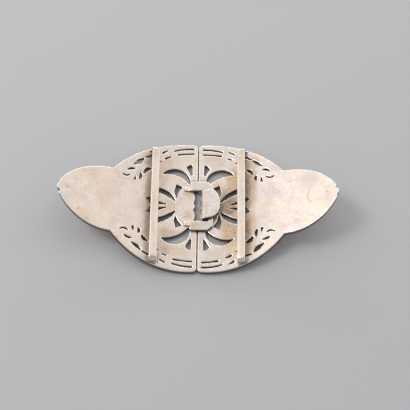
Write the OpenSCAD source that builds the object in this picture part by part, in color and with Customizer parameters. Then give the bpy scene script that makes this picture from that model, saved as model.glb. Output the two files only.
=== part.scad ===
// Nurse's belt clasp buckle: two pierced and bowed silver halves, hooked together, seen back up.
// Millimetres, +Z up. Origin on the ground under the middle of the joint; X runs along the belt
// and Y across it. The buckle lies on its convex front, so both tips stand clear of the ground.
// "Along" is measured from the joint around the bow, "up" from the mid-line of the belt.

/* [Plate] */
// Thickness of the cast plate
plate_thickness = 1.9; // [1.2:0.1:3]
// Radius of the bow, at the back face, that follows the waist
bow_radius = 110; // [80:1:200]
// Reach of one half from the joint to its tip, along X
half_reach = 57.6; // [50:0.1:66]
// Gap left between the two halves at the joint
joint_gap = 0.4; // [0.2:0.1:1]
// Rounding of the four corners at the joint
joint_corner = 1.3; // [0.5:0.1:3]

/* [Body outline] */
// Radius of the arc along the top and the bottom of the body
body_arc = 39.24; // [30:0.01:60]
// How far out from the joint that arc is centred
body_arc_out = 4.35; // [0:0.01:12]
// How far that arc is centred past the mid-line, on the far side
body_arc_past = 8.68; // [0:0.01:20]

/* [Lobe outline] */
// Radius of the arc along the top and the bottom of the end lobe
lobe_arc = 22.58; // [16:0.01:34]
// How far out from the joint that arc is centred
lobe_arc_out = 36.67; // [30:0.01:42]
// How far that arc is centred past the mid-line, on the far side
lobe_arc_past = 7.54; // [2:0.01:12]
// Radius of the small knob on the tip
knob_radius = 1.7; // [1:0.05:3]
// Radius of the nick filed beside the knob, on one side of it
nick_radius = 0.4; // [0.2:0.05:1]

/* [Boss at the joint] */
// Half the height of the slot between the two bosses
slot_half = 7.6; // [5:0.1:10]
// How far the valleys of the scalloped edge stand back from the joint
scallop_valley = 1.75; // [1:0.05:3]
// How far its crests stand back from the joint
scallop_crest = 1.1; // [0.5:0.05:2]

/* [Belt bar] */
// Where the middle of the bar stands, along the bow
bar_along = 18.5; // [14:0.1:24]
// Width of the flat bar
bar_width = 3.3; // [2:0.05:5]
// Thickness of the flat bar
bar_thick = 1.1; // [0.8:0.05:2]
// Height of its top over the back of the plate
bar_rise = 3.1; // [2.5:0.1:6]
// Half its height from end to end, over both legs
bar_half = 27.4; // [24:0.1:28]
// Outer rounding where the bar turns down into its legs
bar_turn = 2; // [0.6:0.1:3]
// How far each foot runs out past its leg, on the side of the joint
foot_near = 0.6; // [0:0.1:1.2]
// The same on the far side, where the rim of the plate falls away
foot_far = -1; // [-2:0.1:0]
// How far each foot is wider than the bar, on its far side
foot_spread = 0.8; // [0:0.1:1.5]
// Height of those feet over the back
foot_pad = 0.7; // [0.4:0.1:1.5]

/* [Eye loop] */
// Outer half height of the loop
loop_half = 11.65; // [9:0.05:14]
// Width of its two arms
loop_arm = 4.4; // [3:0.05:6]
// Where the loop ends, out from the joint over the other half
loop_end = 6.4; // [5:0.1:9]
// Width of the cross bar that the hook holds
cross_bar = 2.1; // [1.5:0.1:3]
// Height of the underside of the arms over the back, clear of the other half
loop_clear = 0.45; // [0.3:0.05:1]
// Thickness of the loop
loop_thick = 1; // [0.7:0.05:1.6]
// How much its two outer corners are slanted off
loop_slant = 2.2; // [0:0.1:4]
// Where the raised part of the arms begins, back from the joint
loop_start = 3.15; // [2:0.05:6]
// How far back the thin feet of the arms run on the plate
loop_foot = 5.7; // [4:0.1:8]
// Height of those feet over the back
foot_height = 0.8; // [0.4:0.05:1.2]
// Inner edge of those feet, up from the mid-line
foot_inner = 7.35; // [6:0.05:9]
// Outer edge of those feet, up from the mid-line
foot_outer = 9.5; // [8:0.05:11]

/* [Hook] */
// Where the fold of the hook stands, out from the joint
hook_fold = 1.4; // [0.8:0.05:3]
// Where the free end of its leaf reaches
hook_end = 9.15; // [7:0.05:11]
// Half the height of the leaf
hook_half = 6.7; // [5:0.05:9]
// How far the middle of its fold stands below the mid-line of the belt
hook_drop = 0.3; // [0:0.05:1]
// How far both its edges rise for each millimetre outward
hook_slant = 0.22; // [0:0.01:0.4]
// Radius that both corners of the free end are rounded to
hook_round = 8.9; // [8:0.1:16]
// How far out from the joint that round is centred
hook_round_out = 0.6; // [-1:0.1:2]
// How far up from the mid-line it is centred
hook_round_up = 0.6; // [-1:0.1:2]
// Thickness of the folded strip
hook_thick = 1.05; // [0.7:0.05:1.5]
// Height of its top over the back of the plate
hook_rise = 2.9; // [2.5:0.05:4]
// Where the leg under the leaf ends, out from the joint
hook_leg_end = 3.9; // [2.5:0.1:4]

/* [Hidden] */
// Which node is drawn

// Radius of the bow at the front face
front_radius = bow_radius + plate_thickness;
// Degrees of bow for one millimetre along the back
bow_degrees = 180 / (PI * bow_radius);
// How far cutters stick out past what they cut
cut_over = 2;
// Small sinking of soldered pieces into what they stand on
solder = 0.5;
// How far hidden solder blocks stay inside the pieces they join
sink_in = 0.15;
// How far the block under each raised arm of the loop stays back from the joint
block_back = 1.2;
// How far the thin feet of the loop run on under its raised arms
foot_under = 1;
// Share of a cut's width that its straight sides keep to, so that they stay inside its round ends
side_share = 0.48;
// Where the tip knob is centred
knob_out = half_reach - knob_radius;
// Where the pointed end of the lobe is trimmed under the knob
lobe_trim = half_reach - 0.9;
// How far up from the mid-line the nick beside the knob is centred
nick_up = 1.8;
// Height of the joint end of the body over the mid-line
joint_half = sqrt(body_arc * body_arc - body_arc_out * body_arc_out) - body_arc_past;
// Crest of each scallop over the mid-line, and its half height: lower, middle, upper
scallop_up = [-4.15, 0.35, 4.45];
scallop_half = [2.65, 1.45, 2.65];

// Pierced cuts on the side that stands up on the left half and down on the right half.
// A row is a cut; its columns are along, up and width, at its start, its middle and its end.
near_cuts = [
    // outer rim slit
    [2.0, 28.4, 0.70, 6.5, 28.15, 0.60, 10.3, 27.15, 0.55],
    // inner rim slit
    [2.0, 26.15, 0.65, 5.6, 25.85, 0.55, 8.6, 25.4, 0.75],
    // outer short slit
    [13.1, 27.1, 0.30, 14.2, 26.5, 0.60, 15.15, 25.8, 0.85],
    // inner short slit
    [11.7, 24.15, 0.30, 12.9, 23.6, 0.65, 13.95, 23.1, 0.90],
    // slit under the outer edge of the bar
    [19.7, 23.8, 1.50, 21.0, 23.2, 0.80, 22.3, 22.85, 0.60],
    // bent leaf beside the bar
    [20.2, 17.4, 0.70, 21.8, 16.6, 1.70, 22.8, 15.2, 0.90],
    // large leaf
    [23.35, 22.1, 0.35, 25.2, 20.2, 1.90, 27.3, 18.6, 0.70],
    // small leaf
    [27.0, 16.5, 0.30, 28.7, 16.2, 1.05, 29.8, 15.6, 0.75],
    // curled slit
    [29.1, 13.2, 0.45, 30.4, 12.6, 0.65, 32.0, 13.2, 0.45],
    // near drop
    [24.45, 14.8, 0.35, 24.4, 13.0, 1.15, 24.8, 11.8, 0.65],
    // far drop
    [26.65, 12.7, 0.30, 26.75, 11.9, 0.60, 26.95, 11.25, 0.90],
    // horn running under the bar
    [9.55, 2.6, 0.35, 12.9, 5.85, 2.20, 17.2, 7.4, 2.50],
    // claw
    [9.0, 4.2, 0.40, 9.15, 7.0, 1.50, 8.65, 8.9, 1.40],
    // tulip slit running under the bar
    [13.4, 0.75, 0.40, 16.0, 1.15, 1.05, 19.5, 1.95, 2.20],
    // barb of the tulip
    [19.7, 3.0, 1.30, 20.6, 2.95, 1.10, 21.3, 2.6, 0.80],
];
// The same cuts on the other side of the mid-line
far_cuts = [
    [2.05, 28.2, 0.65, 6.3, 27.9, 0.60, 10.1, 26.95, 0.60],
    [2.05, 25.75, 0.60, 6.0, 25.5, 0.50, 9.7, 25.05, 0.75],
    [12.95, 26.8, 0.35, 14.1, 26.2, 0.60, 15.15, 25.6, 0.70],
    [12.5, 23.45, 0.35, 13.3, 23.2, 0.50, 14.25, 22.95, 0.50],
    [19.9, 23.8, 0.90, 21.2, 23.1, 0.70, 22.3, 22.5, 0.60],
    [20.4, 17.3, 0.40, 22.0, 16.5, 1.35, 22.75, 15.3, 0.80],
    [23.2, 21.9, 0.35, 25.2, 20.1, 1.40, 27.0, 18.95, 0.60],
    [27.4, 16.8, 0.40, 28.95, 16.7, 1.00, 30.15, 15.85, 0.55],
    [29.0, 13.5, 0.40, 30.2, 12.75, 0.70, 32.15, 13.3, 0.45],
    [24.6, 14.1, 0.35, 24.25, 12.9, 1.20, 24.45, 12.1, 0.70],
    [26.7, 13.1, 0.30, 26.8, 12.3, 0.70, 26.85, 11.55, 1.00],
    [9.5, 2.2, 0.40, 12.9, 5.3, 1.95, 17.2, 7.2, 2.50],
    [9.25, 4.9, 0.40, 9.1, 6.9, 1.40, 8.5, 8.6, 1.40],
    [13.3, 0.7, 0.40, 16.0, 1.5, 1.10, 19.5, 2.4, 2.20],
    [19.8, 3.35, 1.30, 20.8, 3.4, 0.95, 21.4, 3.15, 0.55],
];
// Crescents: along, up and radius of the arc outside, then of the arc inside
near_crescent = [9.75, 11.8, 6.4, 12.45, 4.95, 10.66];
far_crescent = [9.75, 11.5, 6.5, 14.93, 1.0, 14.2];
// Wedges by the joint: along and up of each corner, from the low point round by the joint
near_wedge = [[2.9, 15.3], [2.5, 15.4], [2.5, 20.4], [3.7, 20.5], [5.0, 19.25]];
far_wedge = [[2.95, 15.2], [2.45, 15.4], [2.6, 20.2], [3.5, 20.35], [4.9, 18.65]];
// Heads of the claws: along and up of each corner, from the point nearest the joint
near_head = [[6.45, 9.3], [9.15, 10.8], [9.3, 9.0], [8.0, 7.95]];
far_head = [[6.4, 9.0], [9.2, 10.4], [9.2, 8.7], [7.9, 7.6]];
// Drilled dots beside the bars: along, up and width
dots = [[16.5, 21.35, 0.6], [16.5, 21.1, 0.6]];

// Turns a piece drawn flat at the joint around the bow, to a place along it
module bent(along) {
    translate([0, 0, front_radius])
        rotate([0, -along * bow_degrees, 0])
            translate([0, 0, -front_radius])
                children();
}

// The bowed slab that the plate is cut from
module bowed_slab() {
    reach = 2 * half_reach;
    difference() {
        translate([0, reach / 2, front_radius])
            rotate([90, 0, 0])
                cylinder(h = reach, r = front_radius, $fn = 720);
        translate([0, reach / 2 + cut_over, front_radius])
            rotate([90, 0, 0])
                cylinder(h = reach + 2 * cut_over, r = bow_radius, $fn = 720);
    }
}

// Two arcs that meet on the mid-line: a pointed lens
module lens(out, past, radius) {
    intersection() {
        translate([out, -past]) circle(r = radius, $fn = 360);
        translate([out, past]) circle(r = radius, $fn = 360);
    }
}

// Waste outside a rounded corner at the joint
module corner_waste() {
    difference() {
        translate([0, joint_half - joint_corner])
            square([joint_gap / 2 + joint_corner, joint_corner + cut_over]);
        translate([joint_gap / 2 + joint_corner, joint_half - joint_corner])
            circle(r = joint_corner, $fn = 64);
    }
}

// Scalloped edge of the boss, as the metal that is left in the slot
module scallops() {
    depth = scallop_valley - scallop_crest;
    for (n = [0:2]) {
        radius = (scallop_half[n] * scallop_half[n] + depth * depth) / (2 * depth);
        translate([scallop_crest + radius, scallop_up[n]]) circle(r = radius, $fn = 128);
    }
}

// Outline of one half, drawn on the +X side of the joint
module half_outline() {
    difference() {
        union() {
            lens(body_arc_out, body_arc_past, body_arc);
            intersection() {
                lens(lobe_arc_out, lobe_arc_past, lobe_arc);
                translate([lobe_arc_out / 2, -half_reach / 2])
                    square([lobe_trim - lobe_arc_out / 2, half_reach]);
            }
            translate([knob_out, 0]) circle(r = knob_radius, $fn = 64);
        }
        translate([joint_gap / 2 - half_reach, -half_reach]) square([half_reach, 2 * half_reach]);
        corner_waste();
        mirror([0, 1]) corner_waste();
        translate([lobe_trim, -nick_up]) circle(r = nick_radius, $fn = 32);
        difference() {
            translate([-cut_over, -slot_half]) square([cut_over + scallop_valley, 2 * slot_half]);
            scallops();
        }
    }
}

// One straight stretch of a cut, between two round ends
module stretch(from, to, from_width, to_width) {
    run = to - from;
    side = [-run[1], run[0]] / norm(run) * side_share;
    polygon([from + side * from_width, to + side * to_width, to - side * to_width, from - side * from_width]);
}

// A cut through the plate from a row of three places and widths
module cut(row, up_sign) {
    start = [row[0] - row[3], row[1] * up_sign];
    middle = [0, row[4] * up_sign];
    end = [row[6] - row[3], row[7] * up_sign];
    bent(row[3])
        translate([0, 0, -cut_over])
            linear_extrude(height = plate_thickness + 2 * cut_over) {
                translate(start) circle(r = row[2] / 2, $fn = 24);
                translate(middle) circle(r = row[5] / 2, $fn = 32);
                translate(end) circle(r = row[8] / 2, $fn = 24);
                stretch(start, middle, row[2], row[5]);
                stretch(middle, end, row[5], row[8]);
            }
}

// A crescent: what one circle leaves outside another
module crescent(row, up_sign) {
    bent(row[0])
        translate([0, 0, -cut_over])
            linear_extrude(height = plate_thickness + 2 * cut_over)
                difference() {
                    translate([0, row[1] * up_sign]) circle(r = row[2], $fn = 120);
                    translate([row[3] - row[0], row[4] * up_sign]) circle(r = row[5], $fn = 180);
                }
}

// A cut with straight sides through the given corners
module cornered(corners, up_sign) {
    bent(corners[0][0])
        translate([0, 0, -cut_over])
            linear_extrude(height = plate_thickness + 2 * cut_over)
                polygon([for (c = corners) [c[0] - corners[0][0], c[1] * up_sign]]);
}

// Everything pierced on one side of the mid-line
module side_cuts(cuts, moon, wedge, head, dot, up_sign) {
    for (row = cuts) cut(row, up_sign);
    crescent(moon, up_sign);
    cornered(wedge, up_sign);
    cornered(head, up_sign);
    bent(dot[0])
        translate([0, dot[1] * up_sign, -cut_over])
            cylinder(h = plate_thickness + 2 * cut_over, r = dot[2] / 2, $fn = 24);
}

// The pierced plate of one half, on the +X side
module plate() {
    difference() {
        intersection() {
            bowed_slab();
            linear_extrude(height = front_radius) half_outline();
        }
        side_cuts(near_cuts, near_crescent, near_wedge, near_head, dots[0], 1);
        side_cuts(far_cuts, far_crescent, far_wedge, far_head, dots[1], -1);
    }
}

// Side view of the belt bar: a flat strip turned down at both ends, along Y and Z
module bar_profile() {
    low = -solder;
    difference() {
        union() {
            translate([-bar_half, low]) square([2 * bar_half, bar_rise - bar_turn - low]);
            translate([bar_turn - bar_half, low]) square([2 * (bar_half - bar_turn), bar_rise - low]);
            for (y = [bar_turn - bar_half, bar_half - bar_turn])
                translate([y, bar_rise - bar_turn]) circle(r = bar_turn, $fn = 64);
        }
        translate([bar_thick - bar_half, low - cut_over])
            square([2 * (bar_half - bar_thick), bar_rise - bar_thick - low + cut_over]);
    }
}

// The foot under one leg of a belt bar, kept inside the rim; drawn on the +Y side
module bar_foot() {
    inner = bar_half - bar_thick - 2 * sink_in;
    far = bar_width / 2 + foot_spread;
    translate([0, 0, -solder])
        linear_extrude(height = solder + foot_pad)
            polygon([
                [sink_in - bar_width / 2, inner], [sink_in - bar_width / 2, bar_half + foot_near],
                [far, bar_half + foot_far], [far, inner],
            ]);
}

// A belt bar with its feet, standing on the back of the plate
module belt_bar() {
    bent(bar_along)
        translate([0, 0, plate_thickness]) {
            translate([-bar_width / 2, 0, 0])
                rotate([90, 0, 90])
                    linear_extrude(height = bar_width) bar_profile();
            bar_foot();
            mirror([0, 1, 0]) bar_foot();
        }
}

// What joins one arm of the eye loop to the left plate, on the +Y side
module loop_foot_side() {
    translate([-loop_start + sink_in, loop_half - loop_arm + sink_in, plate_thickness - solder])
        cube([loop_start - block_back, loop_arm - 2 * sink_in, solder + loop_clear + loop_thick / 2]);
    translate([-loop_foot, foot_inner, plate_thickness - solder])
        cube([loop_foot - loop_start + foot_under, foot_outer - foot_inner, solder + foot_height]);
}

// The eye loop: two arms and the cross bar, with slanted outer corners
module eye_loop() {
    loop_foot_side();
    mirror([0, 1, 0]) loop_foot_side();
    translate([0, 0, plate_thickness + loop_clear])
        linear_extrude(height = loop_thick)
            difference() {
                polygon([
                    [-loop_start, -loop_half], [loop_end - loop_slant, -loop_half],
                    [loop_end, loop_slant - loop_half], [loop_end, loop_half - loop_slant],
                    [loop_end - loop_slant, loop_half], [-loop_start, loop_half],
                ]);
                translate([-loop_start - cut_over, loop_arm - loop_half])
                    square([loop_start + cut_over + loop_end - cross_bar, 2 * (loop_half - loop_arm)]);
            }
}

// Side view of the hook, along X and Z: leg, fold and leaf
module hook_profile() {
    fold = hook_rise / 2;
    difference() {
        union() {
            translate([hook_fold + fold, fold]) circle(r = fold, $fn = 64);
            translate([hook_fold + fold, 0]) square([hook_end, hook_rise]);
        }
        translate([hook_fold + fold, fold]) circle(r = fold - hook_thick, $fn = 48);
        translate([hook_fold + fold, hook_thick]) square([hook_end + cut_over, hook_rise - 2 * hook_thick]);
        translate([hook_leg_end, -cut_over]) square([hook_end, hook_rise - hook_thick + cut_over]);
    }
    translate([hook_fold + fold, -solder]) square([hook_leg_end - hook_fold - fold, solder + hook_thick / 2]);
}

// Plan of the hook: both edges rise outward, and the free end is rounded
module hook_plan() {
    near = -cut_over;
    far = hook_end - hook_fold;
    low = -hook_half - hook_drop;
    high = hook_half - hook_drop;
    intersection() {
        translate([hook_fold, 0])
            polygon([
                [near, low + hook_slant * near], [far, low + hook_slant * far],
                [far, high + hook_slant * far], [near, high + hook_slant * near],
            ]);
        translate([hook_round_out, hook_round_up]) circle(r = hook_round, $fn = 240);
    }
}

// The hook: a strip folded over at the joint, with a rounded free leaf
module hook() {
    reach = hook_half + cut_over;
    translate([0, 0, plate_thickness])
        intersection() {
            translate([0, reach, 0])
                rotate([90, 0, 0])
                    linear_extrude(height = 2 * reach) hook_profile();
            translate([0, 0, -cut_over])
                linear_extrude(height = hook_rise + 2 * cut_over) hook_plan();
        }
}

// The left half: plate, belt bar and eye loop, soldered into one
module left_half() {
    color([0.80, 0.77, 0.72]) {
        mirror([1, 0, 0]) {
            plate();
            belt_bar();
        }
        eye_loop();
    }
}

// The right half: the same plate turned half round, with its belt bar and the hook
module right_half() {
    color([0.84, 0.82, 0.78]) {
        mirror([0, 1, 0]) {
            plate();
            belt_bar();
        }
        hook();
    }
}

left_half();
right_half();
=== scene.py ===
import math

import bmesh
import bpy
from mathutils import Matrix, Vector, geometry, noise


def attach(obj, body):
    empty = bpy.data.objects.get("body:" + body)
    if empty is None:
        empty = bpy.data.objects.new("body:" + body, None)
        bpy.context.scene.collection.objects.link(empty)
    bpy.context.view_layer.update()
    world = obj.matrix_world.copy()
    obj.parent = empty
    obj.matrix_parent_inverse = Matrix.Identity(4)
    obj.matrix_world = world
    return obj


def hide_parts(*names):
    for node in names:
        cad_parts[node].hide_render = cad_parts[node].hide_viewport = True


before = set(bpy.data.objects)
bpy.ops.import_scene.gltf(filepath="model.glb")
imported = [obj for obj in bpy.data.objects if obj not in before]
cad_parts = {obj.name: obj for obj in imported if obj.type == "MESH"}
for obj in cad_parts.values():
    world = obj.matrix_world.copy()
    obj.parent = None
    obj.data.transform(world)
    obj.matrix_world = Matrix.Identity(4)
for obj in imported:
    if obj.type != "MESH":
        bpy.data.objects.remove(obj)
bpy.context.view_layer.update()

# Sizes in millimetres, as in the part's source; everything is scaled to metres when it is placed.
MM = 0.001
BOW_RADIUS = 110.0
PLATE_THICK = 1.9
HALF_REACH = 57.6
JOINT_GAP, JOINT_CORNER = 0.4, 1.3
BODY_ARC, BODY_OUT, BODY_PAST = 39.24, 4.35, 8.68
LOBE_ARC, LOBE_OUT, LOBE_PAST = 22.58, 36.67, 7.54
KNOB_RADIUS, KNOB_SHOULDER, NICK_RADIUS, NICK_UP = 1.7, 0.12, 0.4, 1.8
LOBE_TRIM = HALF_REACH - 0.9
SLOT_HALF, VALLEY, CREST = 7.6, 1.75, 1.1
SCALLOPS = [(-4.15, 2.65), (0.35, 1.45), (4.45, 2.65)]  # middle and half width, along the slot
BAR_ALONG, BAR_WIDTH, BAR_THICK, BAR_RISE, BAR_HALF, BAR_TURN = 18.5, 3.3, 1.1, 3.1, 27.4, 2.0
FOOT_NEAR, FOOT_FAR, FOOT_SPREAD, FOOT_PAD = 0.6, -1.0, 0.8, 0.7
LOOP_HALF, LOOP_ARM, LOOP_END, CROSS_BAR = 11.65, 4.4, 6.4, 2.1
LOOP_CLEAR, LOOP_THICK, LOOP_SLANT, LOOP_START = 0.45, 1.0, 2.2, 3.15
LOOP_FOOT, LOOP_FOOT_HEIGHT, LOOP_FOOT_INNER, LOOP_FOOT_OUTER = 5.7, 0.8, 7.35, 9.5
HOOK_FOLD, HOOK_END, HOOK_HALF, HOOK_DROP, HOOK_SLANT = 1.4, 9.15, 6.7, 0.3, 0.22
HOOK_ROUND, HOOK_ROUND_AT = 8.9, (0.6, 0.6)
HOOK_THICK, HOOK_RISE, HOOK_LEG_END = 1.05, 2.9, 3.9
HOOK_BEND = HOOK_RISE / 2  # radius of the fold
HOOK_LEG = HOOK_LEG_END - HOOK_FOLD - HOOK_BEND
HOOK_TURN = math.pi * HOOK_BEND  # length of strip in the fold

# What the dressed pieces add, in millimetres. First the worn rims and the longest stretches of the meshes.
PLATE_EDGE, PLATE_FRONT_EDGE, BAR_EDGE, CATCH_EDGE, FOOT_EDGE = 0.36, 0.4, 0.48, 0.34, 0.3
PLATE_GRID, LOOP_GRID, HOOK_GRID, FOOT_GRID = 1.3, 0.7, 0.5, 0.8
RING = 0.1  # flat ring inside each rounded rim, that keeps the flat metal flat
RIM_STEPS = 3  # facets across each rounded rim
MESH_CLEARANCE = 0.55  # share of a stretch by which free points stay away from the edges
LONGEST_WAY = 1.35  # how far the inset of a sharp corner may stretch
RIPPLE, RIPPLE_STARTS = 0.10, 20
LEAN_FADES = (34, 50)  # from here to here along a plate, its side walls turn upright
BAR_CROWN, BAR_WANDER, BAR_DIP = 0.05, 0.07, 0.05
BAR_LEG_HEIGHTS = (-0.5, 0.6, 1.2)
FOOT_INSIDE, FOOT_SET_IN, FOOT_CORNER, FOOT_SUNK = 0.45, 0.05, 0.4, 0.4
LOOP_STEP, LOOP_RISES_FREE = (-3.75, -2.75), (-1.6, -0.9)
LOOP_SUNK, LOOP_UNDER, LOOP_FOOT_TAPER, LOOP_CORNER = 0.3, 1.0, 0.3, 0.3
HOOK_BLEND, HOOK_BLEND_TURN, HOOK_END_GIVE = 1.0, 5, 0.2
BEAD_AT, BEAD_RADIUS, BEAD_LUMPS = (0.95, 7.25, 1.5), 0.5, 0.18

# The camera and the picture that it makes
PICTURE_PIXELS = 410
MM_PER_PIXEL = 0.418
CAMERA_DISTANCE = 575.2
CAMERA_FROM_ABOVE = 30.0
CAMERA_ROLL = 1.01
AIM_PIXEL = (197.71, 207.10)


def lerp(a, b, t):
    return a + (b - a) * t


def smooth(low, high, value):
    t = min(max((value - low) / (high - low), 0.0), 1.0)
    return t * t * (3 - 2 * t)


# Camera


def make_camera():
    data = bpy.data.cameras.new("camera")
    camera = bpy.data.objects.new("camera", data)
    bpy.context.scene.collection.objects.link(camera)
    tilt, roll = math.radians(CAMERA_FROM_ABOVE), math.radians(CAMERA_ROLL)
    back = Vector((0, -math.sin(tilt), math.cos(tilt)))
    up_flat = Vector((0, math.cos(tilt), math.sin(tilt)))
    across = Vector((1, 0, 0))
    right = across * math.cos(roll) + up_flat * math.sin(roll)
    up = up_flat * math.cos(roll) - across * math.sin(roll)
    aim = Vector((0, 0, PLATE_THICK))
    place = (aim + back * CAMERA_DISTANCE) * MM
    turned = Matrix((right, up, back)).transposed().to_4x4()
    camera.matrix_world = Matrix.Translation(place) @ turned
    data.sensor_width = 36.0
    data.lens = data.sensor_width * CAMERA_DISTANCE / (PICTURE_PIXELS * MM_PER_PIXEL)
    middle = PICTURE_PIXELS / 2
    data.shift_x = (middle - AIM_PIXEL[0]) / PICTURE_PIXELS
    data.shift_y = (AIM_PIXEL[1] - middle) / PICTURE_PIXELS
    data.clip_start, data.clip_end = 0.01, 20.0
    bpy.context.scene.camera = camera


make_camera()

# Flat outlines, drawn for the half on the +X side, anticlockwise, in millimetres


def arc(centre, radius, start, end, count):
    """Points along an arc, in degrees, both ends included."""
    points = []
    for i in range(count + 1):
        a = math.radians(lerp(start, end, i / count))
        points.append((centre[0] + radius * math.cos(a), centre[1] + radius * math.sin(a)))
    return points


def angle_to(centre, point):
    return math.degrees(math.atan2(point[1] - centre[1], point[0] - centre[0]))


def body_y(x):
    """Half height of the plate along the arc of its body."""
    return math.sqrt(BODY_ARC ** 2 - (x - BODY_OUT) ** 2) - BODY_PAST


def lobe_y(x):
    """Half height of the plate along the arc of its end lobe."""
    return math.sqrt(LOBE_ARC ** 2 - (x - LOBE_OUT) ** 2) - LOBE_PAST


def plate_outline():
    """The rim of one half: joint corners, body, kink, lobe, knob with its nick, and the scalloped boss."""
    joint_x = JOINT_GAP / 2
    kink = 30.0
    while body_y(kink) > lobe_y(kink):
        kink += 0.01
    corner = (joint_x + JOINT_CORNER, body_y(0) - JOINT_CORNER)
    upper = []
    for i in range(40):
        x = lerp(kink, corner[0], i / 39)
        upper.append((x, body_y(x)))
    upper += arc(corner, JOINT_CORNER, 90, 180, 6)[1:]
    lobe_centre = (LOBE_OUT, -LOBE_PAST)
    lobe_start = angle_to(lobe_centre, (LOBE_TRIM, lobe_y(LOBE_TRIM)))
    lobe_end = angle_to(lobe_centre, (kink, lobe_y(kink)))
    half_top = arc(lobe_centre, LOBE_ARC, lobe_start, lobe_end, 30)[:-1] + upper
    half_bottom = [(x, -y) for x, y in reversed(half_top)]
    knob = (HALF_REACH - KNOB_RADIUS, 0)
    knob_meet = math.degrees(math.acos((LOBE_TRIM + KNOB_SHOULDER - knob[0]) / KNOB_RADIUS))
    nick = arc((LOBE_TRIM, -NICK_UP), NICK_RADIUS, -100, -260, 6)
    tip = nick + arc(knob, KNOB_RADIUS, -knob_meet, knob_meet, 10)
    slot = [(joint_x, SLOT_HALF), (VALLEY, SLOT_HALF)]
    depth = VALLEY - CREST
    for up, half in reversed(SCALLOPS):
        radius = (half * half + depth * depth) / (2 * depth)
        reach = math.degrees(math.asin(half / radius))
        slot += arc((CREST + radius, up), radius, 180 - reach, 180 + reach, 8)
    slot += [(VALLEY, -SLOT_HALF), (joint_x, -SLOT_HALF)]
    return half_bottom + tip + half_top + slot


# The pierced cuts. A row's columns are along, up and width, at its start, its middle and its end.
# Rows in order: outer and inner rim slit, outer and inner short slit, slit at the bar, bent leaf,
# large leaf, small leaf, curled slit, near drop, far drop, horn under the bar.
NEAR_CUTS = [
    (2.0, 28.4, 0.70, 6.5, 28.15, 0.60, 10.3, 27.15, 0.55),
    (2.0, 26.15, 0.65, 5.6, 25.85, 0.55, 8.6, 25.4, 0.75),
    (13.1, 27.1, 0.30, 14.2, 26.5, 0.60, 15.15, 25.8, 0.85),
    (11.7, 24.15, 0.30, 12.9, 23.6, 0.65, 13.95, 23.1, 0.90),
    (19.7, 23.8, 1.50, 21.0, 23.2, 0.80, 22.3, 22.85, 0.60),
    (20.2, 17.4, 0.70, 21.8, 16.6, 1.70, 22.8, 15.2, 0.90),
    (23.35, 22.1, 0.35, 25.2, 20.2, 1.90, 27.3, 18.6, 0.70),
    (27.0, 16.5, 0.30, 28.7, 16.2, 1.05, 29.8, 15.6, 0.75),
    (29.1, 13.2, 0.45, 30.4, 12.6, 0.65, 32.0, 13.2, 0.45),
    (24.45, 14.8, 0.35, 24.4, 13.0, 1.15, 24.8, 11.8, 0.65),
    (26.65, 12.7, 0.30, 26.75, 11.9, 0.60, 26.95, 11.25, 0.90),
    (9.55, 2.6, 0.35, 12.9, 5.85, 2.20, 17.2, 7.4, 2.50),
]
FAR_CUTS = [
    (2.05, 28.2, 0.65, 6.3, 27.9, 0.60, 10.1, 26.95, 0.60),
    (2.05, 25.75, 0.60, 6.0, 25.5, 0.50, 9.7, 25.05, 0.75),
    (12.95, 26.8, 0.35, 14.1, 26.2, 0.60, 15.15, 25.6, 0.70),
    (12.5, 23.45, 0.35, 13.3, 23.2, 0.50, 14.25, 22.95, 0.50),
    (19.9, 23.8, 0.90, 21.2, 23.1, 0.70, 22.3, 22.5, 0.60),
    (20.4, 17.3, 0.40, 22.0, 16.5, 1.35, 22.75, 15.3, 0.80),
    (23.2, 21.9, 0.35, 25.2, 20.1, 1.40, 27.0, 18.95, 0.60),
    (27.4, 16.8, 0.40, 28.95, 16.7, 1.00, 30.15, 15.85, 0.55),
    (29.0, 13.5, 0.40, 30.2, 12.75, 0.70, 32.15, 13.3, 0.45),
    (24.6, 14.1, 0.35, 24.25, 12.9, 1.20, 24.45, 12.1, 0.70),
    (26.7, 13.1, 0.30, 26.8, 12.3, 0.70, 26.85, 11.55, 1.00),
    (9.5, 2.2, 0.40, 12.9, 5.3, 1.95, 17.2, 7.2, 2.50),
]
# Crescents: along, up and radius of the arc outside, then of the arc inside
NEAR_CRESCENT = ((9.75, 11.8), 6.4, (12.45, 4.95), 10.66)
FAR_CRESCENT = ((9.75, 11.5), 6.5, (14.93, 1.0), 14.2)
# Corners of the shapes that have them: along and up
NEAR_CORNERED = {
    "wedge": [(2.9, 15.3), (5.0, 19.25), (3.7, 20.5), (2.5, 20.4), (2.5, 15.4)],
    "claw": [
        (8.85, 4.05), (9.3, 5.2), (9.75, 6.5), (9.85, 7.7), (9.4, 9.3), (9.15, 10.75),
        (6.45, 9.3), (7.6, 7.9), (8.4, 6.2), (8.65, 4.2),
    ],
    "tulip": [
        (13.2, 0.6), (16.0, 0.6), (20.3, 0.55), (20.55, 1.3), (20.8, 2.2), (21.5, 2.15), (21.7, 2.65),
        (21.1, 3.35), (19.7, 3.65), (17.0, 2.1), (15.0, 1.25), (13.3, 0.95),
    ],
}
FAR_CORNERED = {
    "wedge": [(2.95, 15.2), (4.9, 18.65), (3.5, 20.35), (2.6, 20.2), (2.45, 15.4)],
    "claw": [
        (9.25, 4.7), (9.55, 5.6), (9.85, 6.9), (9.5, 8.1), (9.15, 9.2), (9.2, 10.35),
        (6.4, 9.0), (7.6, 7.75), (8.5, 6.4), (9.05, 4.75),
    ],
    "tulip": [
        (13.2, 0.55), (16.0, 0.9), (20.2, 1.2), (20.5, 2.1), (20.9, 2.85), (21.5, 2.9), (21.7, 3.2),
        (20.9, 3.75), (19.8, 3.95), (17.0, 2.5), (15.0, 1.5), (13.2, 0.9),
    ],
}
NEAR_DOT, FAR_DOT = (16.2, 21.35), (16.2, 21.1)
DOT_RADIUS = 0.3


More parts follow.
